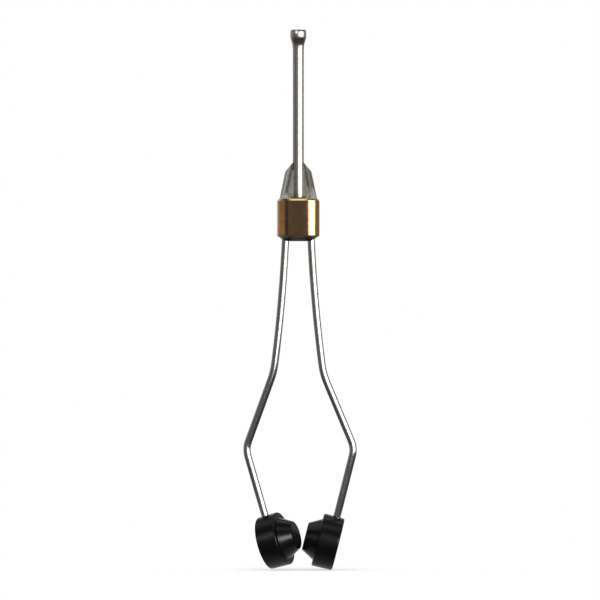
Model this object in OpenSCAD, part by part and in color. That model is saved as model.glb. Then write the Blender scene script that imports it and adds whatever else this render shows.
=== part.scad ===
// Thread bobbin holder for fly tying: a flared thread tube and two sprung wire
// arms are soldered into a brass collar, and each arm ends in a black foot
// whose stepped nose seats in one end of a thread spool.
// The tube points up, the arms hang below the collar and lie in the XZ plane,
// and the origin is on the tube's axis, half way up the collar.

/* [Thread tube] */
// Outer diameter of the thread tube
tube_d = 2.38; // [2:0.02:2.8]
// Diameter of the hole that the thread runs through
tube_bore_d = 1.58; // [1.2:0.02:1.8]
// Length of tube that stands above the collar
tube_reach = 36.55; // [24:0.05:50]
// Length of the flared tip
flare_len = 4.9; // [3.6:0.1:6.5]
// Radius of the hollow curve that the tip flares out on
flare_r = 14.6; // [10:0.1:20]
// Widest diameter of the tip's rim
rim_d = 3.5; // [3:0.05:4.2]
// Depth of the trumpet mouth inside the tip
trumpet_len = 3.2; // [2.4:0.1:4.4]
// Diameter of the trumpet mouth at the rim
trumpet_d = 2.5; // [2:0.05:2.9]

/* [Collar] */
// Outer diameter of the collar
collar_d = 9.2; // [8.4:0.1:11]
// Length of the collar from face to face
collar_len = 9.1; // [7.5:0.1:12]
// Thickness of the collar's wall round the solder
collar_wall = 0.35; // [0.3:0.05:0.8]
// Thickness of the collar's floor, which the tube and wires pass through
floor_t = 2.4; // [2:0.1:3.2]
// Height of the collar's bottom bevel
bevel_h = 1.15; // [0.8:0.05:1.6]
// Width of the collar's bottom bevel
bevel_w = 1.85; // [1.3:0.05:2.2]
// Chamfer on the collar's top edge
collar_chamfer = 0.25; // [0.1:0.05:0.3]
// Rounding where the bevel meets the collar's side
collar_round = 0.2; // [0.2:0.05:0.8]

/* [Arm wires] */
// Diameter of the spring wire
wire_d = 1.6; // [1.2:0.05:1.8]
// Distance between the two wires where they leave the collar
wire_gap = 5.56; // [5:0.02:6.2]
// Angle at which each wire leaves the collar
mouth_angle = 2.75; // [1:0.25:5]
// Angle of each wire at the end of its long upper bow
bow_angle = 7.15; // [5:0.05:10]
// Length of the upper bow
bow_len = 26.6; // [20:0.1:34]
// Bend radius where the arm spreads
spread_r = 15.5; // [10:0.5:22]
// Angle of the left arm's spread part
left_spread_angle = 20; // [15:0.1:26]
// Angle of the right arm's spread part
right_spread_angle = 22.7; // [15:0.1:26]
// Length of the left arm's spread part
left_spread_len = 14.2; // [10:0.1:20]
// Length of the right arm's spread part
right_spread_len = 13.6; // [10:0.1:20]
// Bend radius of the elbows
elbow_r = 5.3; // [3.5:0.1:8]
// Angle at which the left arm turns back in below its elbow
left_return_angle = 16; // [12:0.1:18]
// Angle at which the right arm turns back in below its elbow
right_return_angle = 14.2; // [12:0.1:18]
// Length from the left elbow to the middle of its foot
left_return_len = 19.1; // [15:0.05:23]
// Length from the right elbow to the middle of its foot
right_return_len = 19.25; // [15:0.05:23]

/* [Wire ends above the collar] */
// Angle at which the wire ends lean in to the tube
lean_angle = 11.8; // [9:0.1:14]
// Bend radius of the wires inside the collar
knee_r = 3; // [2.4:0.1:4]
// Room between the wires' knees and the collar's wall
knee_gap = 0.15; // [0.02:0.01:0.3]
// Height above the collar at which the ground tips meet the tube
tip_h = 7.8; // [7:0.1:9.5]
// Angle of the ground tips
tip_angle = 40; // [25:1:45]

/* [Solder] */
// Thickness of the solder web between tube and wire
web_t = 1.1; // [0.7:0.05:1.4]
// Height of the solder that climbs the left wire
left_climb_h = 1.4; // [0.8:0.1:2.5]
// Height of the solder that climbs the right wire
right_climb_h = 2.3; // [0.8:0.1:3]
// Spread of the solder at the foot of each wire
climb_w = 0.5; // [0.2:0.05:0.7]

/* [Feet] */
// Diameter of a foot's disc at the face that carries the nose
foot_d = 11.64; // [10:0.02:14]
// Diameter of the disc at its outer face
foot_outer_d = 11.46; // [9.8:0.02:13.8]
// Thickness of the disc
foot_t = 4.6; // [3.8:0.1:6]
// Diameter of the nose where it leaves the disc
nose_base_d = 9.1; // [7:0.05:9.6]
// Diameter of the nose at its end
nose_end_d = 6; // [4.5:0.05:7]
// Length of the nose
nose_len = 2.8; // [2:0.05:3.2]
// Rounding of the foot's edges
foot_round = 0.35; // [0.1:0.05:0.6]
// Distance from the wire in to the middle of the disc's thickness
foot_inset = 0.54; // [0.2:0.02:0.9]
// Depth that the wire reaches past the middle of the disc
wire_past = 3; // [1:0.1:4.2]
// Turn of the left foot about its wire, nose towards the front
left_foot_turn = 17; // [0:1:25]

/* [Fits] */
// Radial clearance of the wire's end in its foot
swivel_gap = 0.03; // [0.01:0.01:0.08]
// Radial clearance of each arm in the collar's mouth
mouth_gap = 0.04; // [0.03:0.01:0.08]
// Clearance past the wire's end in its foot
end_gap = 0.15; // [0.05:0.05:0.4]

/* [Hidden] */
$fn = 96;

// How far a cutting tool runs past the face that it starts from
overrun = 0.5;
// Straight lengths of wire reach this far into the bends at their ends
seam = 0.1;
// and the bends are this much thicker, so that the straight lengths end inside them
seam_step = 0.01;
// Straight length between two bends that follow each other
join_len = 0.3;
tube_r = tube_d / 2;
bore_r = tube_bore_d / 2;
rim_r = rim_d / 2;
trumpet_mouth_r = trumpet_d / 2;
// The rim is rounded over its whole thickness
rim_round = (rim_r - trumpet_mouth_r) / 2;
collar_r = collar_d / 2;
pocket_r = collar_r - collar_wall;
collar_top = collar_len / 2;
collar_bottom = -collar_len / 2;
floor_top = collar_bottom + floor_t;
bottom_face_r = collar_r - bevel_w;
tube_top = collar_top + tube_reach;
wire_r = wire_d / 2;
mouth_x = wire_gap / 2;
// The arm flexes at the level where its outer side comes clear of the collar's bevel
pivot_z = collar_bottom + (mouth_x + wire_r - bottom_face_r) * bevel_h / bevel_w;
pivot_x = mouth_x - (pivot_z - collar_bottom) * tan(mouth_angle);
// The arm's end is tapered, so that it stays inside a ball round the pivot when the arm
// flexes: this angle up that ball is where the taper ends
point_angle = 60;
// The fixed part of the wire starts just above the arm's tapered end
root_start = wire_r + swivel_gap;

// Inside the collar each wire swings out to the wall and back in to the tube
knee_x = pocket_r - wire_r - knee_gap;
knee_z = collar_top - knee_r * sin(lean_angle);
rise_end = (floor_top - pivot_z) / cos(mouth_angle);
lower_centre = [
    pivot_x - rise_end * sin(mouth_angle) + knee_r * cos(mouth_angle),
    floor_top + knee_r * sin(mouth_angle)
];
upper_centre = [knee_x - knee_r, knee_z];
centre_step = upper_centre - lower_centre;
slant_len = sqrt(pow(norm(centre_step), 2) - pow(2 * knee_r, 2));
slant_angle = atan2(centre_step[0], centre_step[1]) + atan2(2 * knee_r, slant_len);
// Long enough for the ground tip to cut the end off
lean_len = (tip_h + wire_d) / cos(lean_angle);
top_x = knee_x - knee_r * (1 - cos(lean_angle));

// One row for each straight length of a wire and the bend at its end:
// length, bend angle towards the outside, bend radius
root_runs = [
    [rise_end - root_start, slant_angle + mouth_angle, knee_r],
    [slant_len, -slant_angle - lean_angle, knee_r],
    [lean_len, 0, knee_r]
];
bow_r = (bow_len - join_len) / ((bow_angle - mouth_angle) * PI / 180);
// The short straight length of arm inside the collar's mouth
mouth_len = (pivot_z - collar_bottom) / cos(mouth_angle);
left_runs = arm_runs(left_spread_angle, left_spread_len, left_return_angle, left_return_len);
right_runs = arm_runs(right_spread_angle, right_spread_len, right_return_angle, right_return_len);

function arm_runs(spread, spread_len, back, return_len) = [
    [mouth_len, mouth_angle - bow_angle, bow_r],
    [join_len, bow_angle - spread, spread_r],
    [spread_len, spread + back, elbow_r],
    [return_len + wire_past, 0, elbow_r]
];

// Fillet of radius r in the corner at b: [start of the arc, end of the arc, centre]
function fillet(a, b, c, r) =
    let (
        u = (a - b) / norm(a - b),
        v = (c - b) / norm(c - b),
        half = acos(u * v) / 2,
        along = r / tan(half)
    )
    [b + u * along, b + v * along, b + (u + v) / norm(u + v) * r / sin(half)];

// Outline whose corners are rounded by the radii given, 0 for a sharp corner
module rounded_outline(points, radii) {
    n = len(points);
    corners = [for (i = [0 : n - 1]) fillet(points[(i + n - 1) % n], points[i], points[(i + 1) % n], radii[i])];
    polygon([for (i = [0 : n - 1]) each (radii[i] > 0 ? [corners[i][0], corners[i][1]] : [points[i]])]);
    for (i = [0 : n - 1])
        if (radii[i] > 0)
            translate(corners[i][2])
                circle(r = radii[i]);
}

// Quarter-turn bend of the wire and the like: it starts along +Z and turns towards +X
module wire_bend(angle, r) {
    mirror([angle > 0 ? 1 : 0, 0, 0])
        translate([-r, 0, 0])
            rotate([90, 0, 0])
                rotate_extrude(angle = abs(angle))
                    translate([r, 0])
                        circle(r = wire_r + seam_step);
}

// Carries what follows to the end of a bend
module past_bend(angle, r) {
    side = angle > 0 ? r : -r;
    translate([side, 0, 0])
        rotate([0, angle, 0])
            translate([-side, 0, 0])
                children();
}

// A wire that starts along +Z and takes each straight length and bend in turn
module bent_wire(runs, i = 0) {
    start = i > 0 ? -seam : 0;
    end = runs[i][0] + (runs[i][1] != 0 ? seam : 0);
    translate([0, 0, start])
        cylinder(r = wire_r, h = end - start);
    translate([0, 0, runs[i][0]]) {
        if (runs[i][1] != 0)
            wire_bend(runs[i][1], runs[i][2]);
        if (i + 1 < len(runs))
            past_bend(runs[i][1], runs[i][2])
                bent_wire(runs, i + 1);
    }
}

// Carries what follows to the end of an arm's last bend, with +Z down the wire
module past_runs(runs, i = 0) {
    translate([0, 0, runs[i][0]])
        past_bend(runs[i][1], runs[i][2])
            if (i + 2 < len(runs))
                past_runs(runs, i + 1)
                    children();
            else
                children();
}

// The mouth of the right wire: origin at the pivot, +Z up the wire
module at_mouth() {
    translate([pivot_x, 0, pivot_z])
        rotate([0, -mouth_angle, 0])
            children();
}

// The whole soldered part of the right wire, before its tip is ground
module root_blank() {
    at_mouth()
        translate([0, 0, root_start])
            bent_wire(root_runs);
}

module right_root() {
    difference() {
        root_blank();
        cylinder(r = tube_r, h = tube_top);
        translate([tube_r, -wire_d, collar_top + tip_h])
            rotate([0, -tip_angle, 0])
                translate([0, 0, -tip_h])
                    cube([tip_h, 2 * wire_d, 2 * tip_h]);
    }
}

// An arm from its tapered end in the collar to its end inside the foot.
// The frame is turned over, so that +Z runs down the wire and +X is outside.
module arm(runs) {
    at_mouth() {
        cylinder(r1 = wire_r, r2 = wire_r * cos(point_angle), h = wire_r * sin(point_angle));
        rotate([180, 0, 0])
            bent_wire([for (run = runs) [run[0], -run[1], run[2]]]);
    }
}

// Seats what follows on the end of an arm, level with the middle of the disc:
// +Z up the wire, +X outwards
module at_foot(runs, return_len) {
    at_mouth()
        rotate([180, 0, 0])
            past_runs([for (run = runs) [run[0], -run[1], run[2]]])
                translate([0, 0, return_len])
                    rotate([180, 0, 0])
                        children();
}

module foot() {
    outer_x = foot_t / 2 - foot_inset;
    inner_x = -foot_t / 2 - foot_inset;
    difference() {
        rotate([0, 90, 0])
            rotate_extrude()
                rounded_outline(
                    [
                        [0, inner_x - nose_len],
                        [nose_end_d / 2, inner_x - nose_len],
                        [nose_base_d / 2, inner_x],
                        [foot_d / 2, inner_x],
                        [foot_outer_d / 2, outer_x],
                        [0, outer_x]
                    ],
                    [0, foot_round, 0, foot_round, foot_round, 0]
                );
        translate([0, 0, -wire_past - end_gap])
            cylinder(r = wire_r + swivel_gap, h = wire_past + end_gap + foot_d);
    }
}

module thread_tube() {
    color("lightslategray")
        rotate_extrude() {
            difference() {
                union() {
                    translate([0, collar_bottom])
                        square([tube_r, tube_top - rim_round - collar_bottom]);
                    difference() {
                        translate([0, tube_top - flare_len])
                            square([rim_r, flare_len - rim_round]);
                        translate([tube_r + flare_r, tube_top - flare_len])
                            circle(r = flare_r);
                    }
                }
                translate([0, collar_bottom - overrun])
                    square([bore_r, tube_top - collar_bottom + overrun]);
                trumpet_cut();
            }
            translate([(rim_r + trumpet_mouth_r) / 2, tube_top - rim_round])
                circle(r = rim_round);
        }
}

// The bore opens out to the rim on a curve that starts along the bore
module trumpet_cut() {
    depth = trumpet_len - rim_round;
    growth = trumpet_mouth_r - bore_r;
    curve_r = (depth * depth + growth * growth) / (2 * growth);
    translate([0, tube_top - trumpet_len])
        difference() {
            square([trumpet_mouth_r, depth + overrun]);
            translate([bore_r + curve_r, 0])
                circle(r = curve_r);
        }
}

module brass_collar() {
    color("darkgoldenrod")
        difference() {
            rotate_extrude()
                rounded_outline(
                    [
                        [0, collar_bottom],
                        [bottom_face_r, collar_bottom],
                        [collar_r, collar_bottom + bevel_h],
                        [collar_r, collar_top - collar_chamfer],
                        [collar_r - collar_chamfer, collar_top],
                        [0, collar_top]
                    ],
                    [0, 0, collar_round, 0, 0, 0]
                );
            translate([0, 0, floor_top])
                cylinder(r = pocket_r, h = collar_len);
            translate([0, 0, collar_bottom - overrun])
                cylinder(r = tube_r, h = floor_t + 2 * overrun);
            for (side = [0, 1])
                mirror([side, 0, 0])
                    at_mouth() {
                        translate([0, 0, -floor_t])
                            cylinder(r = wire_r + mouth_gap, h = floor_t + root_start);
                        cylinder(r = wire_r, h = floor_t + overrun);
                    }
        }
}

// Solder that climbs a leaning wire from the collar's top
module climb(h) {
    translate([top_x, 0, collar_top])
        rotate([0, -lean_angle, 0])
            translate([0, 0, -h])
                cylinder(r1 = wire_r + 2 * climb_w, r2 = wire_r - climb_w / 4, h = 2 * h);
}

module solder_fill() {
    web_top = (top_x - tube_r - wire_r / cos(lean_angle)) / tan(lean_angle);
    color("silver")
        difference() {
            intersection() {
                translate([0, 0, floor_top])
                    cylinder(r = pocket_r, h = collar_len);
                union() {
                    translate([0, 0, floor_top])
                        cylinder(r = collar_r, h = collar_top - floor_top);
                    climb(right_climb_h);
                    mirror([1, 0, 0])
                        climb(left_climb_h);
                    translate([0, web_t / 2, collar_top - overrun])
                        rotate([90, 0, 0])
                            linear_extrude(web_t)
                                polygon([
                                    [-top_x, 0],
                                    [top_x, 0],
                                    [top_x, overrun],
                                    [top_x - web_top * tan(lean_angle), overrun + web_top],
                                    [web_top * tan(lean_angle) - top_x, overrun + web_top],
                                    [-top_x, overrun]
                                ]);
                }
            }
            translate([0, 0, collar_bottom])
                cylinder(r = tube_r, h = tube_top);
            root_blank();
            mirror([1, 0, 0])
                root_blank();
        }
}

module left_wire_root() {
    color("gray")
        mirror([1, 0, 0])
            right_root();
}

module right_wire_root() {
    color("gray")
        right_root();
}

module left_arm() {
    color("dimgray")
        mirror([1, 0, 0])
            arm(left_runs);
}

module right_arm() {
    color("dimgray")
        arm(right_runs);
}

module left_foot() {
    color("#1c181a")
        mirror([1, 0, 0])
            at_foot(left_runs, left_return_len)
                rotate([0, 0, left_foot_turn])
                    foot();
}

module right_foot() {
    color("#1c181a")
        at_foot(right_runs, right_return_len)
            foot();
}

thread_tube();
brass_collar();
solder_fill();
left_wire_root();
right_wire_root();
left_arm();
right_arm();
left_foot();
right_foot();
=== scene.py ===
import math

import bmesh
import bpy
import numpy as np
from mathutils import Matrix, Vector


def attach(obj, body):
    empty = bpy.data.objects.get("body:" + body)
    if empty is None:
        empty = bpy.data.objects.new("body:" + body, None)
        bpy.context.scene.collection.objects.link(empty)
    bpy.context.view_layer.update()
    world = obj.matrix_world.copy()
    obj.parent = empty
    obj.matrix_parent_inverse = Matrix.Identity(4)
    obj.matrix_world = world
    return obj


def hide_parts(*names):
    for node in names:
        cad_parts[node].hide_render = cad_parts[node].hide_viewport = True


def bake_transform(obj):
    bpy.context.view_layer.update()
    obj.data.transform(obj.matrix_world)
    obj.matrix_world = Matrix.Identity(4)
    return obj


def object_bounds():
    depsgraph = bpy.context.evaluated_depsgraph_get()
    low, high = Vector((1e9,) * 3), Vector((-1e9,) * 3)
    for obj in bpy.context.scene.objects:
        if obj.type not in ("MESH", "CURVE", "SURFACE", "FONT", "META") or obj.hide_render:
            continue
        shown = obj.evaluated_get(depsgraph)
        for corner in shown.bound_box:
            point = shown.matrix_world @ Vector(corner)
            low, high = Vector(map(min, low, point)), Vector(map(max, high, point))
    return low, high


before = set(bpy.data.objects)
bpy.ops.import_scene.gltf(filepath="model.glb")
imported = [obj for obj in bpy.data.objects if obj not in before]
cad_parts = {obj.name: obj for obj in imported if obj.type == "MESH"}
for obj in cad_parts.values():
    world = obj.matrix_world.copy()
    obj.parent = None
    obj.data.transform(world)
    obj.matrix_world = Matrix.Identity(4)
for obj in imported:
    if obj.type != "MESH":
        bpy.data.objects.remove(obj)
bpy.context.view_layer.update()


# Thread tube.
# A length of drawn 3/32 inch stainless tube. Its tip is flared over a mandrel, its rim is
# rounded and the mouth is polished, so that the thread runs over it without catching. The
# torch has browned it where it enters the collar.
MM = 0.001  # named sizes are in millimetres, and named angles in degrees
TURN_STEPS = 128
WELD_DIST = 0.0001
SHARP_ANGLE = 35
EDGE_HOLD = 0.04
TUBE_R = 1.19
BORE_R = 0.79
TUBE_BOTTOM = -4.55
TUBE_TOP = 41.1
THROAT_R = 17.0
THROAT_ANGLE = 4
FLARE_ANGLE = 19
LIP_R = 4.0
LIP_TILT = 12
RIM_R = 1.75
MOUTH_R = 1.25
MOUTH_LEN = 3.2
RIM_ROUND = 0.25
SPUN_FROM = 35.5
SPUN_FULL = 37.5
BURN_TOP = 7.0
BURN_FULL = 5.2
BURN_WANDER = 1.0
STEEL = (0.61, 0.585, 0.53, 1)
STEEL_DULL = (0.48, 0.455, 0.40, 1)
STEEL_BURNT = (0.30, 0.20, 0.15, 1)


def arc_points(centre, radius, start, end, steps):
    """Points on an arc in the (radius, height) plane, angles in degrees."""
    angles = [math.radians(a) for a in np.linspace(start, end, steps + 1)]
    return [
        (centre[0] + radius * math.cos(a), centre[1] + radius * math.sin(a)) for a in angles
    ]


def hold_edges(points, hold):
    """Adds a point close to each end of a long straight run, so that smooth shading keeps it
    straight."""
    held = []
    for here, there in zip(points, points[1:] + points[:1]):
        held.append(here)
        here, there = np.array(here), np.array(there)
        length = np.linalg.norm(there - here)
        if length > 6 * hold:
            step = (there - here) / length * hold
            held += [tuple(here + step), tuple(there - step)]
    return held


def turn(name, outline, steps=TURN_STEPS, place=Matrix.Identity(4)):
    """A solid of revolution about Z from a closed outline of (radius, height), in millimetres.
    A radius of 0 is a pole."""
    verts, rings = [], []
    for radius, height in outline:
        if radius < 1e-6:
            rings.append([len(verts)])
            verts.append((0, 0, height))
            continue
        rings.append(range(len(verts), len(verts) + steps))
        for i in range(steps):
            a = 2 * math.pi * i / steps
            verts.append((radius * math.cos(a), radius * math.sin(a), height))
    faces = []
    for low, high in zip(rings, rings[1:] + rings[:1]):
        if len(low) == 1 and len(high) == 1:
            continue
        for i in range(steps):
            j = (i + 1) % steps
            corners = [low[i % len(low)], low[j % len(low)]]
            corners += [high[j % len(high)], high[i % len(high)]]
            faces.append(list(dict.fromkeys(corners)))
    mesh = bpy.data.meshes.new(name)
    mesh.from_pydata([tuple(place @ Vector(v) * MM) for v in verts], [], faces)
    return piece_from(name, mesh)


def piece_from(name, mesh):
    """A finished piece from a closed mesh: faces point outwards, and shading is smooth up to
    sharp corners."""
    shape = bmesh.new()
    shape.from_mesh(mesh)
    bmesh.ops.remove_doubles(shape, verts=shape.verts, dist=WELD_DIST * MM)
    bmesh.ops.recalc_face_normals(shape, faces=shape.faces)
    shape.to_mesh(mesh)
    shape.free()
    mesh.shade_smooth()
    mesh.set_sharp_from_angle(angle=math.radians(SHARP_ANGLE))
    piece = bpy.data.objects.new(name, mesh)
    bpy.context.collection.objects.link(piece)
    return piece


def new_finish(name, **shader):
    """A material with one shader whose uniform values are set on its own sockets."""
    finish = bpy.data.materials.new(name)
    finish.use_nodes = True
    nodes = finish.node_tree.nodes
    nodes.clear()
    surface = nodes.new("ShaderNodeBsdfPrincipled")
    output = nodes.new("ShaderNodeOutputMaterial")
    finish.node_tree.links.new(surface.outputs[0], output.inputs[0])
    for socket, value in shader.items():
        surface.inputs[socket.replace("_", " ")].default_value = value
    return finish, surface


def node(tree, kind, output=0, settings=None, **inputs):
    """Adds a node and gives one of its outputs. Inputs are values or other nodes' outputs, each
    called by its name, or by i and its number where a node has that name twice."""
    made = tree.nodes.new("ShaderNode" + kind)
    for key, value in (settings or {}).items():
        setattr(made, key, value)
    for key, value in inputs.items():
        which = int(key[1:]) if key[1:].isdigit() else key.replace("_", " ")
        socket = made.inputs[which]
        if isinstance(value, bpy.types.NodeSocket):
            tree.links.new(value, socket)
        else:
            socket.default_value = value
    return made.outputs[output]


def noise(tree, place, scale, stretch=(1, 1, 1), detail=3, rough=0.5, shift=(0, 0, 0)):
    """Noise with a feature size of 1 / scale metres along each axis that stretch leaves at 1."""
    mapped = node(tree, "Mapping", Vector=place, Location=shift, Scale=stretch)
    return node(tree, "TexNoise", Vector=mapped, Scale=scale, Detail=detail, Roughness=rough)


def between(tree, value, low, high, out_low=0.0, out_high=1.0):
    """Maps a value from one range to another and keeps it inside."""
    return node(
        tree, "MapRange", Value=value, From_Min=low, From_Max=high, To_Min=out_low, To_Max=out_high
    )


def blend_colours(tree, share, first, second):
    """Mixes two colours."""
    return node(tree, "Mix", 2, {"data_type": "RGBA"}, i0=share, i6=first, i7=second)


def blend_values(tree, share, first, second):
    """Mixes two numbers."""
    return node(tree, "Mix", 0, {"data_type": "FLOAT"}, i0=share, i2=first, i3=second)


def maths(tree, operation, first, second=0.0, clamp=False):
    """One sum on one or two numbers. clamp keeps the result from 0 to 1."""
    return node(tree, "Math", 0, {"operation": operation, "use_clamp": clamp}, i0=first, i1=second)


def link_finish(tree, surface, tint, rough, relief, strength, depth):
    """Links a shader's colour, roughness and relief. depth is in metres."""
    bump = node(tree, "Bump", Strength=strength, Distance=depth, Height=relief)
    tree.links.new(tint, surface.inputs["Base Color"])
    tree.links.new(rough, surface.inputs["Roughness"])
    tree.links.new(bump, surface.inputs["Normal"])


mouth_depth = MOUTH_LEN - RIM_ROUND
mouth_growth = MOUTH_R - BORE_R
mouth_curve = (mouth_depth**2 + mouth_growth**2) / (2 * mouth_growth)
mouth_rise = math.degrees(math.asin(mouth_depth / mouth_curve))
rim_z = TUBE_TOP - RIM_ROUND
lip_tilt = math.radians(LIP_TILT)
lip_z = rim_z + (RIM_ROUND - LIP_R) * math.sin(lip_tilt)
lip_in = (LIP_R - RIM_ROUND) * (1 - math.cos(lip_tilt))
throat, flare = math.radians(THROAT_ANGLE), math.radians(FLARE_ANGLE)
flare_growth = RIM_R - TUBE_R - THROAT_R * (1 - math.cos(throat)) - LIP_R * (1 - math.cos(flare))
flare_curve = flare_growth / (math.cos(throat) - math.cos(flare))
flare_z = lip_z - LIP_R * math.sin(flare) - flare_curve * math.sin(flare)
throat_z = flare_z + (flare_curve - THROAT_R) * math.sin(throat)
flare_x = TUBE_R + THROAT_R + (flare_curve - THROAT_R) * math.cos(throat)
# Upwards from the tube: the throat, the flare, the lip's bulge and the rim's round, and then
# down the polished mouth. Each is a centre, a radius, two angles and a number of steps.
arcs = [
    ((TUBE_R + THROAT_R, throat_z), THROAT_R, 180, 180 - THROAT_ANGLE, 8),
    ((flare_x, flare_z), flare_curve, 180 - THROAT_ANGLE, 180 - FLARE_ANGLE, 8),
    ((RIM_R - LIP_R, lip_z), LIP_R, -FLARE_ANGLE, LIP_TILT, 14),
    ((RIM_R - RIM_ROUND - lip_in, rim_z), RIM_ROUND, LIP_TILT, 180, 16),
    ((BORE_R + mouth_curve, TUBE_TOP - MOUTH_LEN), mouth_curve, 180 - mouth_rise, 180, 12),
]
tube_outline = [(BORE_R, TUBE_BOTTOM), (TUBE_R, TUBE_BOTTOM)] + arc_points(*arcs[0])
for arc in arcs[1:]:
    tube_outline += arc_points(*arc)[1:]
thread_tube = turn("stainless_thread_tube", hold_edges(tube_outline, EDGE_HOLD))

tube_finish, surface = new_finish("drawn_stainless_tube", Metallic=1.0, Anisotropic=0.85)
tree = tube_finish.node_tree
place = node(tree, "TexCoord", "Object")
height = node(tree, "SeparateXYZ", "Z", Vector=place)
drawn = noise(tree, place, scale=9000, stretch=(1, 1, 0.004), detail=2, rough=0.6)
cloud = noise(tree, place, scale=900, stretch=(1, 1, 0.25), detail=3, rough=0.6)
spun = noise(tree, place, scale=9000, stretch=(0.02, 0.02, 1), detail=2, rough=0.6)
at_tip = between(tree, height, SPUN_FROM * MM, SPUN_FULL * MM)
tint = blend_colours(tree, between(tree, cloud, 0.35, 0.7), STEEL, STEEL_DULL)
burn = maths(tree, "ADD", height, maths(tree, "MULTIPLY", cloud, BURN_WANDER * MM))
burnt = between(tree, burn, BURN_TOP * MM, BURN_FULL * MM, out_low=0, out_high=0.9)
drawn_rough = between(tree, cloud, 0.3, 0.7, out_low=0.2, out_high=0.26)
link_finish(
    tree,
    surface,
    tint=blend_colours(tree, burnt, tint, STEEL_BURNT),
    rough=blend_values(tree, at_tip, drawn_rough, 0.23),
    relief=blend_values(tree, at_tip, drawn, spun),
    strength=0.25,
    depth=4e-6,
)
thread_tube.data.materials.append(tube_finish)
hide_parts("thread_tube")
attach(thread_tube, "tube_and_collar")


# Collar.
# Turned from brass bar: a thin cup on a drilled floor, bevelled below and chamfered above.
# The tube and both wires pass through its floor. It has browned a little in the hand. Painted
# light:
# its bevel below is painted near black as shade, its front and back a darker plum as shade, and
# its top rim lighter, partly wear and partly a painted highlight.
COLLAR_R = 4.6
COLLAR_TOP = 4.55
COLLAR_BOTTOM = -4.55
BEVEL_H = 1.15
BEVEL_W = 1.85
POCKET_R = 4.25
FLOOR_TOP = -2.15
CHAMFER_W = 0.24
CHAMFER_H = 0.42
# Where the painted shade on the bevel below begins and where it is full
LOW_SHADE_FROM = -3.2
LOW_SHADE_FULL = -3.6
# Where the painted plum shade on the front and back ends and where it is full
PLUM_SHADE_TO = 3.4
PLUM_SHADE_FULL = 2.8
# Where the top rim's wear and painted highlight begin and where they are full
WORN_SHEEN_FROM = 4.05
WORN_SHEEN_FULL = 4.2
BRASS = (0.58, 0.30, 0.10, 1)
BRASS_BROWN = (0.42, 0.215, 0.095, 1)
BRASS_PLUM_SHADE = (0.45, 0.265, 0.155, 1)
BRASS_PAINTED_SHADE = (0.035, 0.027, 0.02, 1)
# Worn brass, for the scuffs, and for the top rim's wear and painted highlight
BRASS_WORN_AND_SHEEN = (0.88, 0.70, 0.36, 1)


def rounded(corners, steps=6):
    """A closed outline from corners of (radius, height, rounding)."""
    points = []
    count = len(corners)
    for i in range(count):
        before, here, after = (np.array(corners[k % count][:2], float) for k in (i - 1, i, i + 1))
        r = corners[i][2]
        if not r:
            points.append(tuple(here))
            continue
        u = (before - here) / np.linalg.norm(before - here)
        v = (after - here) / np.linalg.norm(after - here)
        half = math.acos(float(u @ v)) / 2
        centre = here + (u + v) / np.linalg.norm(u + v) * r / math.sin(half)
        first, last = here + u * r / math.tan(half), here + v * r / math.tan(half)
        start = math.atan2(*(first - centre)[::-1])
        sweep = (math.atan2(*(last - centre)[::-1]) - start + math.pi) % (2 * math.pi) - math.pi
        for a in start + sweep * np.linspace(0, 1, steps + 1):
            points.append((centre[0] + r * math.cos(a), centre[1] + r * math.sin(a)))
    return points


collar_outline = rounded(
    [
        (TUBE_R, COLLAR_BOTTOM, 0.05),
        (COLLAR_R - BEVEL_W, COLLAR_BOTTOM, 0.08),
        (COLLAR_R, COLLAR_BOTTOM + BEVEL_H, 0.2),
        (COLLAR_R, COLLAR_TOP - CHAMFER_H, 0.1),
        (COLLAR_R - CHAMFER_W, COLLAR_TOP, 0.06),
        (POCKET_R, COLLAR_TOP, 0.03),
        (POCKET_R, FLOOR_TOP, 0),
        (TUBE_R, FLOOR_TOP, 0),
    ]
)
collar = turn("brass_collar_cup", hold_edges(collar_outline, EDGE_HOLD))

collar_finish, surface = new_finish("browned_brass", Metallic=1.0)
tree = collar_finish.node_tree
place = node(tree, "TexCoord", "Object")
height = node(tree, "SeparateXYZ", "Z", Vector=place)
turned_lines = noise(tree, place, scale=12000, stretch=(0.012, 0.012, 1), detail=2, rough=0.55)
bloom = noise(tree, place, scale=420, stretch=(1, 1, 0.7), detail=4, rough=0.6)
plum = noise(tree, place, scale=260, stretch=(1, 1, 1.4), shift=(0.011, 0.004, 0.007))
scuffs = noise(
    tree,
    place,
    scale=3000,
    stretch=(0.8, 0.8, 1.5),
    detail=5,
    rough=0.75,
    shift=(0.003, 0.002, 0.001),
)
shaded_low_edge = between(tree, height, LOW_SHADE_FROM * MM, LOW_SHADE_FULL * MM)
tint = blend_colours(tree, between(tree, bloom, 0.42, 0.72), BRASS, BRASS_BROWN)
# Painted shade: the front, which faces the camera, and the back are painted a darker plum brown,
# for the dim reflection that a face turned to the camera shows
off_middle = maths(tree, "ABSOLUTE", node(tree, "SeparateXYZ", "X", Vector=place))
shaded_face_on = between(tree, off_middle, PLUM_SHADE_TO * MM, PLUM_SHADE_FULL * MM)
plum_share = between(tree, plum, 0.2, 0.6, out_low=0.4, out_high=1.0)
tint = blend_colours(tree, maths(tree, "MULTIPLY", shaded_face_on, plum_share), tint, BRASS_PLUM_SHADE)
scuffed = between(tree, scuffs, 0.55, 0.68, out_low=0, out_high=0.7)
tint = blend_colours(tree, scuffed, tint, BRASS_WORN_AND_SHEEN)
# Painted shade: the bevel below is painted near black
tint = blend_colours(tree, shaded_low_edge, tint, BRASS_PAINTED_SHADE)
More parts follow.
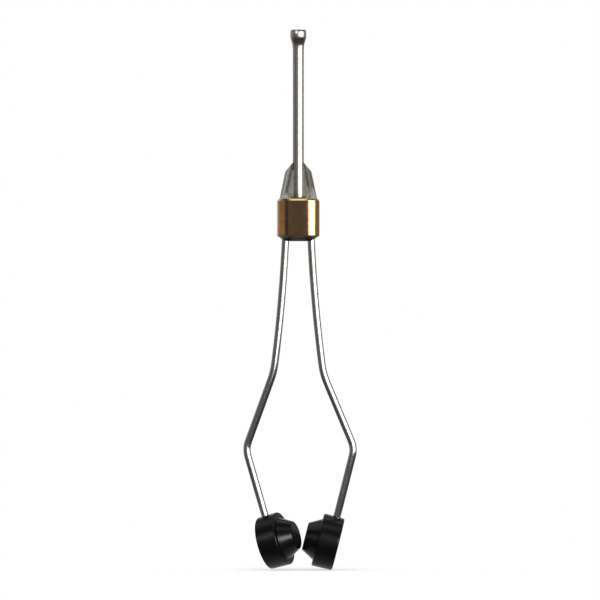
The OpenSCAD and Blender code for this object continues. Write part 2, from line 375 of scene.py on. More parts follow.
# The top rim is painted lighter: partly wear, and partly a painted highlight from the light above
worn_and_lit_rim = between(tree, height, WORN_SHEEN_FROM * MM, WORN_SHEEN_FULL * MM, out_low=0, out_high=0.8)
bloom_rough = between(tree, bloom, 0.3, 0.75, out_low=0.13, out_high=0.24)
scuff_rough = between(tree, scuffs, 0.6, 0.75, out_low=0, out_high=0.12)
rough = maths(tree, "ADD", bloom_rough, scuff_rough)
scratches = maths(tree, "MULTIPLY", between(tree, scuffs, 0.6, 0.72), 1.2)
link_finish(
    tree,
    surface,
    tint=blend_colours(tree, worn_and_lit_rim, tint, BRASS_WORN_AND_SHEEN),
    rough=maths(tree, "ADD", rough, maths(tree, "MULTIPLY", shaded_low_edge, 0.25)),
    relief=maths(tree, "SUBTRACT", turned_lines, scratches),
    strength=0.15,
    depth=8e-6,
)
collar.data.materials.append(collar_finish)
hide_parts("brass_collar")
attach(collar, "tube_and_collar")


# Arm wires.
# Each is one length of 1/16 inch stainless spring wire. Inside the collar it kinks out to the
# wall and leans in on the tube, where its end is ground to a slope. Below, it bows, spreads
# and turns back at the elbow to end inside its foot.
WIRE_R = 0.8
WIRE_SIDES = 40
WALK_STEP = 0.7
BEND_STEP_ANGLE = 4
BEND_STEPS_PER_MM = 0.025  # for each degree of the bend
MOUTH_X = 2.78
MOUTH_ANGLE = 2.75
BOW_ANGLE = 7.15
BOW_LEN = 26.6
SPREAD_R = 15.5
ELBOW_R = 5.3
JOIN_LEN = 0.3
LEAN_ANGLE = 11.8
KNEE_R = 3.0
KNEE_X = 3.3
TIP_Z = 12.35
TIP_ANGLE = 40
TIP_SPARE = 10
WIRE_PAST = 3.0
SPRING = (0.56, 0.54, 0.51, 1)
SPRING_DULL = (0.40, 0.385, 0.36, 1)
# Spread angle, spread length, return angle, return length
ARM_BENDS = {"left": (20, 14.2, 16, 19.1), "right": (22.7, 13.6, 14.2, 19.25)}
ARM_SIDE = {"left": -1, "right": 1}

mouth_slope = math.tan(math.radians(MOUTH_ANGLE))
pivot_z = COLLAR_BOTTOM + (MOUTH_X + WIRE_R - (COLLAR_R - BEVEL_W)) * BEVEL_H / BEVEL_W
pivot_x = MOUTH_X - (pivot_z - COLLAR_BOTTOM) * mouth_slope


def walk(start, heading, runs):
    """Points along a wire in the (x, z) plane. heading is degrees from straight down, outwards
    positive. Each run is a straight length, then a bend to a new heading on a radius, which is 0
    where the heading stays."""
    x, z = start
    points = [(x, z)]
    for length, new_heading, radius in runs:
        a = math.radians(heading)
        steps = max(1, round(length / WALK_STEP))
        for i in range(1, steps + 1):
            points.append(
                (x + math.sin(a) * length * i / steps, z - math.cos(a) * length * i / steps)
            )
        x, z = points[-1]
        if new_heading == heading:
            continue
        side = 1 if new_heading > heading else -1
        swept = abs(new_heading - heading)
        steps = max(1, round(max(swept / BEND_STEP_ANGLE, swept * radius * BEND_STEPS_PER_MM)))
        for t in np.radians(np.linspace(heading, new_heading, steps + 1)[1:]):
            sideways = side * radius * (math.cos(a) - math.cos(t))
            down = side * radius * (math.sin(t) - math.sin(a))
            points.append((x + sideways, z - down))
        x, z = points[-1]
        heading = new_heading
    return points


def arm_path(spread, spread_len, back, return_len):
    """The arm from the collar's mouth down into its foot, and the foot's middle."""
    bow_r = (BOW_LEN - JOIN_LEN) / math.radians(BOW_ANGLE - MOUTH_ANGLE)
    mouth_len = (pivot_z - COLLAR_BOTTOM) / math.cos(math.radians(MOUTH_ANGLE))
    runs = [
        (mouth_len, BOW_ANGLE, bow_r),
        (JOIN_LEN, spread, SPREAD_R),
        (spread_len, -back, ELBOW_R),
    ]
    points = walk((pivot_x, pivot_z), MOUTH_ANGLE, runs)
    middle = walk(points[-1], -back, [(return_len, -back, 0)])[-1]
    into_foot = walk(points[-1], -back, [(return_len + WIRE_PAST, -back, 0)])[1:]
    return points + into_foot, middle


def root_path():
    """The same wire upwards from the mouth to beyond the ground tip."""
    mouth, lean = math.radians(MOUTH_ANGLE), math.radians(LEAN_ANGLE)
    rise = FLOOR_TOP - pivot_z
    # The centres of its two bends, at the cup's floor and at the collar's top
    low_x = pivot_x - rise * math.tan(mouth) + KNEE_R * math.cos(mouth)
    low = np.array([low_x, FLOOR_TOP + KNEE_R * math.sin(mouth)])
    high = np.array([KNEE_X - KNEE_R, COLLAR_TOP - KNEE_R * math.sin(lean)])
    step = high - low
    slant_len = math.sqrt(step @ step - 4 * KNEE_R**2)
    slant = math.degrees(math.atan2(step[0], step[1]) + math.atan2(2 * KNEE_R, slant_len))
    # Walking down with z and heading turned over is walking up
    runs = [
        (rise / math.cos(mouth), slant, KNEE_R),
        (slant_len, -LEAN_ANGLE, KNEE_R),
        (TIP_SPARE, -LEAN_ANGLE, 0),
    ]
    return [(x, -z) for x, z in walk((pivot_x, -pivot_z), -MOUTH_ANGLE, runs)]


def wire_maker():
    """Geometry Nodes: round wire along a path. Its finish finds the place round the wire, the
    place along it and the wire's direction as attributes."""
    tree = bpy.data.node_groups.new("bent_spring_wire", "GeometryNodeTree")
    for name, kind in (
        ("Path", "NodeSocketGeometry"),
        ("Wire Radius", "NodeSocketFloat"),
        ("Sides", "NodeSocketInt"),
        ("Finish", "NodeSocketMaterial"),
    ):
        tree.interface.new_socket(name, in_out="INPUT", socket_type=kind)
    tree.interface.new_socket("Wire", in_out="OUTPUT", socket_type="NodeSocketGeometry")
    link = tree.links.new

    def keep(name, kind, shape, value):
        """Stores a value at each point of a shape."""
        kept = tree.nodes.new("GeometryNodeStoreNamedAttribute")
        kept.data_type, kept.domain = kind, "POINT"
        kept.inputs["Name"].default_value = name
        link(shape, kept.inputs["Geometry"])
        link(value, kept.inputs["Value"])
        return kept.outputs[0]

    given = tree.nodes.new("NodeGroupInput")
    path = tree.nodes.new("GeometryNodeMeshToCurve")
    link(given.outputs["Path"], path.inputs[0])
    length = tree.nodes.new("GeometryNodeSplineParameter").outputs["Length"]
    line = keep("along", "FLOAT", path.outputs[0], length)
    tangent = tree.nodes.new("GeometryNodeInputTangent").outputs[0]
    line = keep("heading", "FLOAT_VECTOR", line, tangent)
    ring = tree.nodes.new("GeometryNodeCurvePrimitiveCircle")
    link(given.outputs["Wire Radius"], ring.inputs["Radius"])
    link(given.outputs["Sides"], ring.inputs["Resolution"])
    position = tree.nodes.new("GeometryNodeInputPosition").outputs[0]
    section = keep("across", "FLOAT_VECTOR", ring.outputs[0], position)
    sweep = tree.nodes.new("GeometryNodeCurveToMesh")
    sweep.inputs["Fill Caps"].default_value = True
    link(line, sweep.inputs["Curve"])
    link(section, sweep.inputs["Profile Curve"])
    real = tree.nodes.new("GeometryNodeRealizeInstances")
    link(sweep.outputs[0], real.inputs[0])
    finish = tree.nodes.new("GeometryNodeSetMaterial")
    link(real.outputs[0], finish.inputs["Geometry"])
    link(given.outputs["Finish"], finish.inputs["Material"])
    link(finish.outputs[0], tree.nodes.new("NodeGroupOutput").inputs[0])
    return tree


def plain_mesh(piece, name):
    """The piece's evaluated mesh, on its own."""
    evaluated = piece.evaluated_get(bpy.context.evaluated_depsgraph_get())
    mesh = bpy.data.meshes.new_from_object(evaluated)
    mesh.name = name
    bpy.data.objects.remove(piece)
    return mesh


def grind_tip(mesh, way, proud=0.0):
    """Cuts a wire's end, or the solder over it, to the slope that meets the tube."""
    shape = bmesh.new()
    shape.from_mesh(mesh)
    slope = math.radians(TIP_ANGLE)
    normal = Vector((way * math.cos(slope), 0, math.sin(slope)))
    cut = bmesh.ops.bisect_plane(
        shape,
        geom=shape.verts[:] + shape.edges[:] + shape.faces[:],
        plane_co=(Vector((way * TUBE_R, 0, TIP_Z)) + normal * proud) * MM,
        plane_no=normal,
        clear_outer=True,
    )
    rim = [edge for edge in cut["geom_cut"] if isinstance(edge, bmesh.types.BMEdge)]
    bmesh.ops.edgeloop_fill(shape, edges=rim)
    shape.to_mesh(mesh)
    shape.free()


def keep_off_axis(verts, least, most=math.inf):
    """Moves points sideways until their distance from the tube's axis is between two limits."""
    for v in verts:
        reach = math.hypot(v.co.x, v.co.y)
        if reach < least or reach > most:
            share = min(max(reach, least), most) / reach
            v.co.x *= share
            v.co.y *= share


spring_finish, surface = new_finish("drawn_spring_wire", Metallic=1.0, Anisotropic=1.0)
tree = spring_finish.node_tree
across = node(tree, "Attribute", "Vector", {"attribute_name": "across"})
along = node(tree, "Attribute", "Fac", {"attribute_name": "along"})
length_vector = node(tree, "CombineXYZ", Z=along)
place = node(tree, "VectorMath", 0, {"operation": "ADD"}, i0=across, i1=length_vector)
drawn = noise(tree, place, scale=9000, stretch=(1, 1, 0.006), detail=2, rough=0.6)
cloud = noise(tree, place, scale=1100, stretch=(1, 1, 0.2), detail=3, rough=0.6)
nicks = noise(
    tree, place, scale=2600, stretch=(1, 1, 0.6), detail=2, shift=(0.002, 0.001, 0.003)
)
nicked = maths(tree, "MULTIPLY", between(tree, nicks, 0.68, 0.78), 0.7)
link_finish(
    tree,
    surface,
    tint=blend_colours(tree, between(tree, cloud, 0.35, 0.7), SPRING, SPRING_DULL),
    rough=between(tree, cloud, 0.3, 0.7, out_low=0.15, out_high=0.19),
    relief=maths(tree, "SUBTRACT", drawn, nicked),
    strength=0.1,
    depth=4e-6,
)
# The drawn lines run along the wire, so that light spreads round it
heading = node(tree, "Attribute", "Vector", {"attribute_name": "heading"})
facing = node(tree, "NewGeometry", "Normal")
round_wire = node(tree, "VectorMath", 0, {"operation": "CROSS_PRODUCT"}, i0=heading, i1=facing)
tree.links.new(round_wire, surface.inputs["Tangent"])

wire_tree = wire_maker()
wire_inputs = {
    s.name: s.identifier for s in wire_tree.interface.items_tree if s.in_out == "INPUT"
}
foot_place = {}
wires = []
for side, bends in ARM_BENDS.items():
    way = ARM_SIDE[side]
    down, middle = arm_path(*bends)
    points = root_path()[:0:-1] + down
    foot_place[side] = (way * middle[0], middle[1])
    path_mesh = bpy.data.meshes.new(side + "_path")
    path_points = [(way * x * MM, 0, z * MM) for x, z in points]
    path_mesh.from_pydata(path_points, [(i, i + 1) for i in range(len(points) - 1)], [])
    blank = bpy.data.objects.new(side + "_path", path_mesh)
    bpy.context.collection.objects.link(blank)
    maker = blank.modifiers.new("wire", "NODES")
    maker.node_group = wire_tree
    maker[wire_inputs["Wire Radius"]] = WIRE_R * MM
    maker[wire_inputs["Sides"]] = WIRE_SIDES
    maker[wire_inputs["Finish"]] = spring_finish
    mesh = plain_mesh(blank, side + "_spring_wire")

    # The end is ground to a slope against the tube, and nothing reaches into the bore
    grind_tip(mesh, way)
    shape = bmesh.new()
    shape.from_mesh(mesh)
    wall = (TUBE_R + BORE_R) / 2 * MM
    keep_off_axis([v for v in shape.verts if v.co.z > COLLAR_TOP * MM], wall)
    shape.to_mesh(mesh)
    shape.free()
    wire = piece_from(side + "_spring_wire", mesh)
    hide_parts(side + "_wire_root", side + "_arm")
    wires.append(wire)
    out_of_mouth = math.radians(MOUTH_ANGLE)
    heading = Vector((way * math.sin(out_of_mouth), 0, -math.cos(out_of_mouth)))
    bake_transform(wire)


# Solder.
# Silver solder run into the cup until it is full. It climbs the tube and the wires, more on the
# right one, skins their leaning ends and webs them to the tube. It is painted darker in streaks
# along the wires, as painted shade.
SOLDER_HOLE_R = 1.0
SOLDER_TOP = 4.42
RIM_BARE = 0.05
WALL_CREEP = 0.08
WALL_CREEP_W = 0.12
TUBE_CREEP = 0.55
TUBE_CREEP_W = 0.2
SOLDER_GRAIN = 0.09
SOLDER_SKIN = 0.04
SKIN_DOWN = 0.3
# How far the solder climbs each wire, and how far it spreads round the wire at the collar's top
CLIMB = {"left": (1.5, 0.62), "right": (2.4, 0.8)}
CLIMB_DOWN = 1.0
CLIMB_EXTRA_W = 0.3
CLIMB_THIN = 0.06
CLIMB_CURVE = 2.2
WEB_HALF = 0.68
WEB_INNER = 0.98
WEB_DOWN = 0.6
WEB_SHORT = 1.7
WEB_WAIST = 0.3
WEB_WAIST_GAP = 1.2
SMOOTH_ROUNDS = 8
SMOOTH_DOWN = 0.25
SMOOTH_SHORT = 3.5
TOP_X = KNEE_X - KNEE_R * (1 - math.cos(math.radians(LEAN_ANGLE)))
# The streaks along the wires are painted shade
STREAK_OFF = 0.42
STREAK_WANDER = 0.6
# Half widths of a streak, where it begins to show and where it is full
INNER_STREAK = (0.36, 0.14)
OUTER_STREAK = (0.4, 0.16)
# How far over the collar the streaks begin, and over what height they come in
STREAKS_UP = {"left": 1.0, "right": 2.0}
STREAKS_FADE = 0.6
# How far out and how high the flux has browned it, where that ends and where it is full
SCORCH_R = (2.0, 1.5)
SCORCH_Z = (5.4, 4.9)
SOLDER = (0.84, 0.80, 0.73, 1)
SOLDER_DULL = (0.60, 0.59, 0.48, 1)
# Painted shade for the streaks along the wires
SOLDER_PAINTED_SHADE = (0.34, 0.32, 0.28, 1)
FLUX_BROWN = (0.20, 0.13, 0.105, 1)


def wire_x(z):
    """Where the middle of the right wire's leaning end is at a height."""
    return TOP_X - (z - COLLAR_TOP) * math.tan(math.radians(LEAN_ANGLE))


def grid_block(columns, rows, at):
    """A closed block from a grid of half thicknesses: at(column, row) gives x, half thickness
    and z."""
    verts, faces = [], []
    for face in (1, -1):
        for r in rows:
            for c in columns:
                x, half, z = at(c, r)
                verts.append((x, face * half, z))
    width, tall = len(columns), len(rows)
    size = width * tall
    for r in range(tall - 1):
        for c in range(width - 1):
            a = r * width + c
            faces.append((a, a + 1, a + width + 1, a + width))
            faces.append((size + a, size + a + width, size + a + width + 1, size + a + 1))
    # Once round the grid's border, for the strip that joins its two faces
    edge = list(range(width)) + [r * width + width - 1 for r in range(1, tall)]
    edge += [(tall - 1) * width + c for c in range(width - 2, -1, -1)]
    edge += [r * width for r in range(tall - 2, 0, -1)]
    for a, b in zip(edge, edge[1:] + edge[:1]):
        faces.append((a, size + a, size + b, b))
    return verts, faces


fill_outline = [
    (SOLDER_HOLE_R, FLOOR_TOP),
    (POCKET_R, FLOOR_TOP),
    (POCKET_R, COLLAR_TOP - RIM_BARE),
]
for off in (0.1, 0.3):
    fill_outline.append((POCKET_R - off, SOLDER_TOP + WALL_CREEP * math.exp(-off / WALL_CREEP_W)))
for off in (0.8, 0.5, 0.3, 0.15, 0.05, 0):
    fill_outline.append((TUBE_R + off, SOLDER_TOP + TUBE_CREEP * math.exp(-off / TUBE_CREEP_W)))
fill_outline.append((SOLDER_HOLE_R, SOLDER_TOP + TUBE_CREEP))
parts = [turn("fill", fill_outline, steps=96)]
for side, (climb_h, climb_w) in CLIMB.items():
    way = ARM_SIDE[side]
    at_rim = Matrix.Translation((way * TOP_X, 0, COLLAR_TOP))
    lean = at_rim @ Matrix.Rotation(-way * math.radians(LEAN_ANGLE), 4, "Y")
    cone = [(0, -CLIMB_DOWN), (WIRE_R + climb_w + CLIMB_EXTRA_W, -CLIMB_DOWN)]
    for s in np.linspace(0, 1, 9):
        flared = (climb_w + CLIMB_EXTRA_W) * (1 - s) ** CLIMB_CURVE
        cone.append((WIRE_R - CLIMB_THIN + flared, -SKIN_DOWN + s * (climb_h + SKIN_DOWN)))
    cone.append((0, climb_h))
    parts.append(turn(side + "_climb", cone, steps=48, place=lean))

    skin_r = WIRE_R + SOLDER_SKIN
    skin_outline = [(0, -SKIN_DOWN), (skin_r, -SKIN_DOWN), (skin_r, TIP_SPARE), (0, TIP_SPARE)]
    skinned = turn(side + "_skin", skin_outline, steps=48, place=lean)
    grind_tip(skinned.data, way, SOLDER_SKIN)
    parts.append(skinned)

    def web_at(c, r):
        """The web's x, half thickness and z at a share of its width and of its height."""
        z = COLLAR_TOP - WEB_DOWN + r * (TIP_Z - WEB_SHORT - COLLAR_TOP + WEB_DOWN)
        x_end = wire_x(z)
        gap = max(0.0, x_end - WIRE_R - TUBE_R)
        waist = WEB_WAIST * min(1, gap / WEB_WAIST_GAP) * math.sin(math.pi * c)
        return way * (WEB_INNER + (x_end - WEB_INNER) * c), WEB_HALF * (1 - waist), z

    verts, faces = grid_block(np.linspace(0, 1, 7), np.linspace(0, 1, 15), web_at)
    mesh = bpy.data.meshes.new(side + "_web")
    mesh.from_pydata([tuple(Vector(v) * MM) for v in verts], [], faces)
    parts.append(piece_from(side + "_web", mesh))

# The lumps run together: one skin over all of them, made at a thousand times the size because
# the finest grain that the remesher takes is a tenth of a millimetre
lump = bpy.data.meshes.new("solder")
joined = bmesh.new()
for part in parts:
    part.data.transform(Matrix.Scale(1 / MM, 4))
    joined.from_mesh(part.data)
    bpy.data.objects.remove(part)
joined.to_mesh(lump)
joined.free()
blank = bpy.data.objects.new("solder", lump)
bpy.context.collection.objects.link(blank)
skin = blank.modifiers.new("skin", "REMESH")
skin.mode = "VOXEL"
skin.voxel_size = SOLDER_GRAIN
mesh = plain_mesh(blank, "silver_solder")
shape = bmesh.new()
shape.from_mesh(mesh)
in_cup = [v for v in shape.verts if v.co.z < COLLAR_TOP]
above = [v for v in shape.verts if v.co.z >= COLLAR_TOP]
soft = [v for v in shape.verts if SOLDER_TOP - SMOOTH_DOWN < v.co.z < TIP_Z - SMOOTH_SHORT]
for _ in range(SMOOTH_ROUNDS):
    bmesh.ops.smooth_vert(
        shape, verts=soft, factor=0.5, use_axis_x=True, use_axis_y=True, use_axis_z=True
    )
    keep_off_axis(in_cup, SOLDER_HOLE_R, POCKET_R)
    for v in above:
        keep_off_axis([v], SOLDER_HOLE_R, wire_x(v.co.z) + WIRE_R + SOLDER_SKIN)
shape.to_mesh(mesh)
shape.free()
mesh.transform(Matrix.Scale(MM, 4))
solder = piece_from("silver_solder", mesh)

solder_finish, surface = new_finish("silver_solder", Metallic=1.0)
tree = solder_finish.node_tree
place = node(tree, "TexCoord", "Object")
height = node(tree, "SeparateXYZ", "Z", Vector=place)
sideways = node(tree, "SeparateXYZ", "X", Vector=place)
ripple = noise(tree, place, scale=1400, rough=0.55)
frost = noise(tree, place, scale=9000, detail=2, rough=0.6)
stain = noise(tree, place, scale=500, stretch=(1, 1, 0.6), rough=0.6, shift=(0.004, 0.001, 0.002))
tint = blend_colours(tree, between(tree, stain, 0.4, 0.7), SOLDER, SOLDER_DULL)
# How far out from the wire's middle a place is, with the streaks' wander
lean_in = maths(tree, "MULTIPLY", height, math.tan(math.radians(LEAN_ANGLE)))
off_wire = maths(tree, "ADD", maths(tree, "ABSOLUTE", sideways), lean_in)
off_wire = maths(tree, "SUBTRACT", off_wire, wire_x(0) * MM)
wander = maths(tree, "MULTIPLY", maths(tree, "SUBTRACT", ripple, 0.5), STREAK_WANDER * MM)
off_wire = maths(tree, "ADD", off_wire, wander)
# A streak of painted shade inside each wire's middle, and one outside it on the right
inner = maths(tree, "ABSOLUTE", maths(tree, "ADD", off_wire, STREAK_OFF * MM))
outer = maths(tree, "ABSOLUTE", maths(tree, "SUBTRACT", off_wire, STREAK_OFF * MM))
inner_streak = between(tree, inner, INNER_STREAK[0] * MM, INNER_STREAK[1] * MM)
outer_streak = between(tree, outer, OUTER_STREAK[0] * MM, OUTER_STREAK[1] * MM)
right_side = between(tree, sideways, 0, MM)
outer_streak = maths(tree, "MULTIPLY", outer_streak, right_side)
streaks = maths(tree, "MAXIMUM", inner_streak, outer_streak)
lowest = blend_values(
    tree,
    right_side,
    (COLLAR_TOP + STREAKS_UP["left"]) * MM,
    (COLLAR_TOP + STREAKS_UP["right"]) * MM,
)
streaks_in = between(tree, maths(tree, "SUBTRACT", height, lowest), 0, STREAKS_FADE * MM)
streaks = maths(tree, "MULTIPLY", streaks, streaks_in)
tint = blend_colours(tree, streaks, tint, SOLDER_PAINTED_SHADE)
flat_place = node(tree, "VectorMath", 0, {"operation": "MULTIPLY"}, i0=place, i1=(1, 1, 0))
from_axis = node(tree, "VectorMath", "Value", {"operation": "LENGTH"}, i0=flat_place)
near_tube = between(tree, from_axis, SCORCH_R[0] * MM, SCORCH_R[1] * MM)
near_cup = between(tree, height, SCORCH_Z[0] * MM, SCORCH_Z[1] * MM)
scorch = maths(tree, "MULTIPLY", near_tube, near_cup)
link_finish(
    tree,
    surface,
    tint=blend_colours(tree, scorch, tint, FLUX_BROWN),
    rough=between(tree, ripple, 0.3, 0.7, out_low=0.42, out_high=0.55),
    relief=maths(tree, "ADD", ripple, maths(tree, "MULTIPLY", frost, 0.12)),
    strength=0.5,
    depth=5e-5,
)
solder.data.materials.append(solder_finish)
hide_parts("solder_fill")
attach(solder, "tube_and_collar")


# Feet.
# Two like mouldings of black plastic. Each is a disc with a stepped nose that enters the end of
# a thread spool, and turns on the wire that is pushed into its rim.
FOOT_R = 5.82
FOOT_OUTER_R = 5.73
FOOT_T = 4.6
NOSE_BASE_R = 4.55
NOSE_END_R = 3.0
NOSE_LEN = 2.8
FOOT_ROUND = 0.35
STEP_ROUND = 0.08
FOOT_INSET = 0.54
FOOT_HOLD = 0.05
FOOT_STEPS = 160
FOOT_TURN = {"left": 17, "right": 0}
HOLE_R = 0.85
HOLE_FLARE = 0.14
HOLE_SPARE = 0.15
PLASTIC = (0.0026, 0.0021, 0.0027, 1)
PLASTIC_RUBBED = (0.0065, 0.0055, 0.006, 1)

foot_finish, surface = new_finish("black_moulded_plastic", IOR=1.45, Specular_IOR_Level=0.25)
tree = foot_finish.node_tree
place = node(tree, "TexCoord", "Object")
peel = noise(tree, place, scale=2200, detail=2)
cloud = noise(tree, place, scale=350, detail=4, rough=0.6)
rub = noise(tree, place, scale=5000, rough=0.7, shift=(0.001, 0.004, 0.002))
rubbed = between(tree, rub, 0.58, 0.72)
cloud_rough = between(tree, cloud, 0.3, 0.7, out_low=0.22, out_high=0.3)
link_finish(
    tree,
    surface,
    tint=blend_colours(tree, rubbed, PLASTIC, PLASTIC_RUBBED),
    rough=maths(tree, "ADD", cloud_rough, maths(tree, "MULTIPLY", rubbed, 0.06)),
    relief=peel,
    strength=0.35,
    depth=2e-5,
)

outer_face = FOOT_T / 2 - FOOT_INSET
inner_face = -FOOT_T / 2 - FOOT_INSET
foot_outline = rounded(
    [
        (0, outer_face, 0),
        (FOOT_OUTER_R, outer_face, FOOT_ROUND),
        (FOOT_R, inner_face, FOOT_ROUND),
        (NOSE_BASE_R, inner_face, STEP_ROUND),
        (NOSE_END_R, inner_face - NOSE_LEN, FOOT_ROUND),
        (0, inner_face - NOSE_LEN, 0),
    ],
    steps=8,
)
feet = []
for side, bends in ARM_BENDS.items():
    way = ARM_SIDE[side]
    # Foot's own frame: X outwards, Z up the wire, turned about the wire with its nose to the front
    seat = (
        Matrix.Translation((foot_place[side][0], 0, foot_place[side][1]))
        @ Matrix.Rotation(way * math.radians(bends[2]), 4, "Y")
        @ Matrix.Rotation(way * math.radians(FOOT_TURN[side]), 4, "Z")
    )
    lay_down = Matrix.Rotation(way * math.pi / 2, 4, "Y")
    held_outline = hold_edges(foot_outline, FOOT_HOLD)
    foot = turn(side + "_foot_moulding", held_outline, FOOT_STEPS, seat @ lay_down)
    drill_outline = [
        (0, -WIRE_PAST - HOLE_SPARE),
        (HOLE_R, -WIRE_PAST - HOLE_SPARE),
        (HOLE_R, FOOT_R - HOLE_FLARE),
        (HOLE_R + 2 * HOLE_FLARE, FOOT_R + HOLE_FLARE),
        (0, FOOT_R + HOLE_FLARE),
    ]
    drill = turn("drill", drill_outline, steps=48, place=seat)
    hole = foot.modifiers.new("hole", "BOOLEAN")
    hole.object = drill
    hole.solver = "EXACT"
    mesh = plain_mesh(foot, side + "_foot_moulding")
    bpy.data.objects.remove(drill)
    foot = piece_from(side + "_foot_moulding", mesh)
    foot.data.materials.append(foot_finish)
    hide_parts(side + "_foot")
    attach(foot, side + "_foot")
    feet.append(foot)


# Studio.
# A white floor and backdrop in a room that is bright behind the object and dim in front of it.
# Six soft lamps are flagged off from all but their own pieces: one lights the collar, one the
# tube and wires, one the tube and solder, one the solder alone, and two the black feet.
FLOOR_SIDE = 60
FLOOR_FRONT = -50
FLOOR_BACK = 250
FLOOR_WHITE = 0.8
FLOOR_GLOW = 0.55
# Where the sheet is gone and where it is whole, to the front and to the sides
FRONT_FADE = (-8, -1)
SIDE_FADE = (55, 30)
# Azimuth from the camera's side, right positive, and how bright the room is there
ROOM_LEVELS = [
    (-168, 1.0),
    (-162, 0.8),
    (-148, 0.7),
    (-134, 0.5),
    (-122, 0.33),
    (-79, 0.33),
    (-76, 0.07),
    (-60, 0.07),
    (-54, 0.18),
    (-10, 0.15),
    (40, 0.15),
    (104, 0.14),
    (110, 0.2),
    (161, 0.3),
    (168, 1.0),
]
CEILING_LEVEL = 1.2
ROOM_LIGHT = 0.6
BACKDROP_LEVEL = 1.0
LAMP_AWAY = 0.7
LAMP_AIM = -17
FRAME_WIDTH = 129.6
CAMERA_AWAY = 1200
CAMERA_X = 0.369
CAMERA_Z = -17.27

floor_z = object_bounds()[0].z
sheet_corners = (
    (-FLOOR_SIDE, FLOOR_FRONT),
    (FLOOR_SIDE, FLOOR_FRONT),
    (FLOOR_SIDE, FLOOR_BACK),
    (-FLOOR_SIDE, FLOOR_BACK),
)
floor_mesh = bpy.data.meshes.new("floor")
floor_mesh.from_pydata([(x * MM, y * MM, floor_z) for x, y in sheet_corners], [], [(0, 1, 2, 3)])
floor = bpy.data.objects.new("floor", floor_mesh)
bpy.context.collection.objects.link(floor)
floor_finish = bpy.data.materials.new("white_paper")
floor_finish.use_nodes = True
tree = floor_finish.node_tree
tree.nodes.clear()
seen = tree.nodes.new("ShaderNodeLightPath").outputs
direct = maths(tree, "ADD", seen["Is Camera Ray"], seen["Is Glossy Ray"])
direct = maths(tree, "ADD", direct, seen["Is Transmission Ray"], clamp=True)
paper = node(tree, "BsdfDiffuse", Color=(FLOOR_WHITE, FLOOR_WHITE, FLOOR_WHITE, 1))
glow = maths(tree, "MULTIPLY", direct, FLOOR_GLOW)
lift = node(tree, "Emission", Color=(1, 1, 1, 1), Strength=glow)
both = node(tree, "AddShader", i0=paper, i1=lift)
# The sheet thins out in front of the object and towards its sides, where only the white room
# is behind it
sheet = node(tree, "TexCoord", "Object")
from_middle = maths(tree, "ABSOLUTE", node(tree, "SeparateXYZ", "X", Vector=sheet))
towards_back = node(tree, "SeparateXYZ", "Y", Vector=sheet)
there = maths(
    tree,
    "MULTIPLY",
    between(tree, towards_back, FRONT_FADE[0] * MM, FRONT_FADE[1] * MM),
    between(tree, from_middle, SIDE_FADE[0] * MM, SIDE_FADE[1] * MM),
)
both = node(tree, "MixShader", i0=there, i1=node(tree, "BsdfTransparent"), i2=both)
tree.links.new(both, tree.nodes.new("ShaderNodeOutputMaterial").inputs[0])
floor.data.materials.append(floor_finish)

world = bpy.context.scene.world or bpy.data.worlds.new("studio")
bpy.context.scene.world = world
world.use_nodes = True
tree = world.node_tree
tree.nodes.clear()
# Which way a ray goes; its Z is the sine of the height over the horizon
ray = tree.nodes.new("ShaderNodeSeparateXYZ")
tree.links.new(node(tree, "TexCoord", "Generated"), ray.inputs[0])
ray_x, ray_y, ray_z = ray.outputs
seen = tree.nodes.new("ShaderNodeLightPath").outputs
turn_out = maths(tree, "ARCTAN2", ray_x, maths(tree, "MULTIPLY", ray_y, -1))
round_room = maths(tree, "ADD", maths(tree, "DIVIDE", turn_out, 2 * math.pi), 0.5)
walls = tree.nodes.new("ShaderNodeValToRGB")
walls.color_ramp.elements[0].color = walls.color_ramp.elements[1].color = (1, 1, 1, 1)
for azimuth, grey in ROOM_LEVELS:
    walls.color_ramp.elements.new(azimuth / 360 + 0.5).color = (grey, grey, grey, 1)
tree.links.new(round_room, walls.inputs[0])
below = between(tree, ray_z, -0.08, -0.35, out_low=1, out_high=0.35)
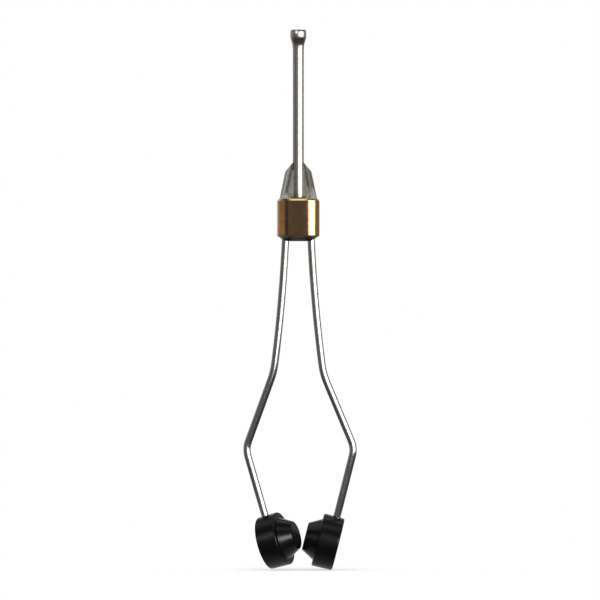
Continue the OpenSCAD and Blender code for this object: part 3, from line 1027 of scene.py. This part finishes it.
# The backdrop ends well below the ceiling, and the wall over it is dim
above = between(tree, ray_z, 0.45, 0.65, out_low=1, out_high=0.1)
lit_walls = maths(tree, "MULTIPLY", walls.outputs[0], below)
lit_walls = maths(tree, "MULTIPLY", lit_walls, above)
overhead = maths(
    tree, "MULTIPLY", between(tree, ray_z, 0.76, 0.84), between(tree, ray_z, 0.95, 0.91)
)
room = maths(tree, "MAXIMUM", lit_walls, maths(tree, "MULTIPLY", overhead, CEILING_LEVEL))
mirrored = maths(tree, "ADD", seen["Is Glossy Ray"], seen["Is Transmission Ray"], clamp=True)
level = blend_values(tree, mirrored, ROOM_LIGHT, room)
level = blend_values(tree, seen["Is Camera Ray"], level, BACKDROP_LEVEL)
sky = node(tree, "Background", Color=(1, 1, 1, 1), Strength=level)
tree.links.new(sky, tree.nodes.new("ShaderNodeOutputWorld").inputs[0])
# Lamp samples of the world can't tell glossy rays from others
world.cycles.sampling_method = "NONE"


def softbox(name, azimuth, elevation, width, tall, radiance, lit):
    """A soft rectangular lamp that faces the object and is flagged off from all but the pieces
    in lit. Azimuth 0 is the camera's side and 90 the right; width and tall are in metres."""
    a, e = math.radians(azimuth), math.radians(elevation)
    lamp = bpy.data.lights.new(name, "AREA")
    lamp.shape = "RECTANGLE"
    lamp.size, lamp.size_y = width, tall
    lamp.energy = radiance * math.pi * width * tall
    unit = bpy.data.objects.new(name, lamp)
    out = Vector((math.sin(a) * math.cos(e), -math.cos(a) * math.cos(e), math.sin(e)))
    unit.location = Vector((0, 0, LAMP_AIM * MM)) + out * LAMP_AWAY
    unit.rotation_euler = out.to_track_quat("Z", "Y").to_euler()
    unit.visible_camera = False
    bpy.context.collection.objects.link(unit)
    reached = bpy.data.collections.new(name + "_reaches")
    for piece in lit:
        reached.objects.link(piece)
    unit.light_linking.receiver_collection = reached


# Azimuth, elevation, width, height, radiance, and the pieces that the lamp lights
softbox("softbox_right", 79.5, 14, 0.52, 0.62, 7, [collar])
softbox("softbox_front", 41, 7.8, 0.91, 0.36, 4, [thread_tube] + wires)
softbox("small_lamp_left", -27, 21, 0.22, 0.2, 3.5, [thread_tube, solder])
softbox("solder_lamp_right", 50, 25, 0.5, 0.4, 1.2, [solder])
softbox("low_lamp_right", 31, 6, 0.3, 0.25, 20, feet)
softbox("low_lamp_left", -40, 14, 0.35, 0.25, 2, feet)

camera_data = bpy.data.cameras.new("camera")
camera_data.angle = 2 * math.atan(FRAME_WIDTH / 2 / CAMERA_AWAY)
camera_data.clip_start = 0.05
camera_data.clip_end = 20
camera = bpy.data.objects.new("camera", camera_data)
camera.location = (CAMERA_X * MM, -CAMERA_AWAY * MM, CAMERA_Z * MM)
camera.rotation_euler = (math.pi / 2, 0, 0)
bpy.context.collection.objects.link(camera)
bpy.context.scene.camera = camera
bpy.context.scene.view_settings.view_transform = "Standard"
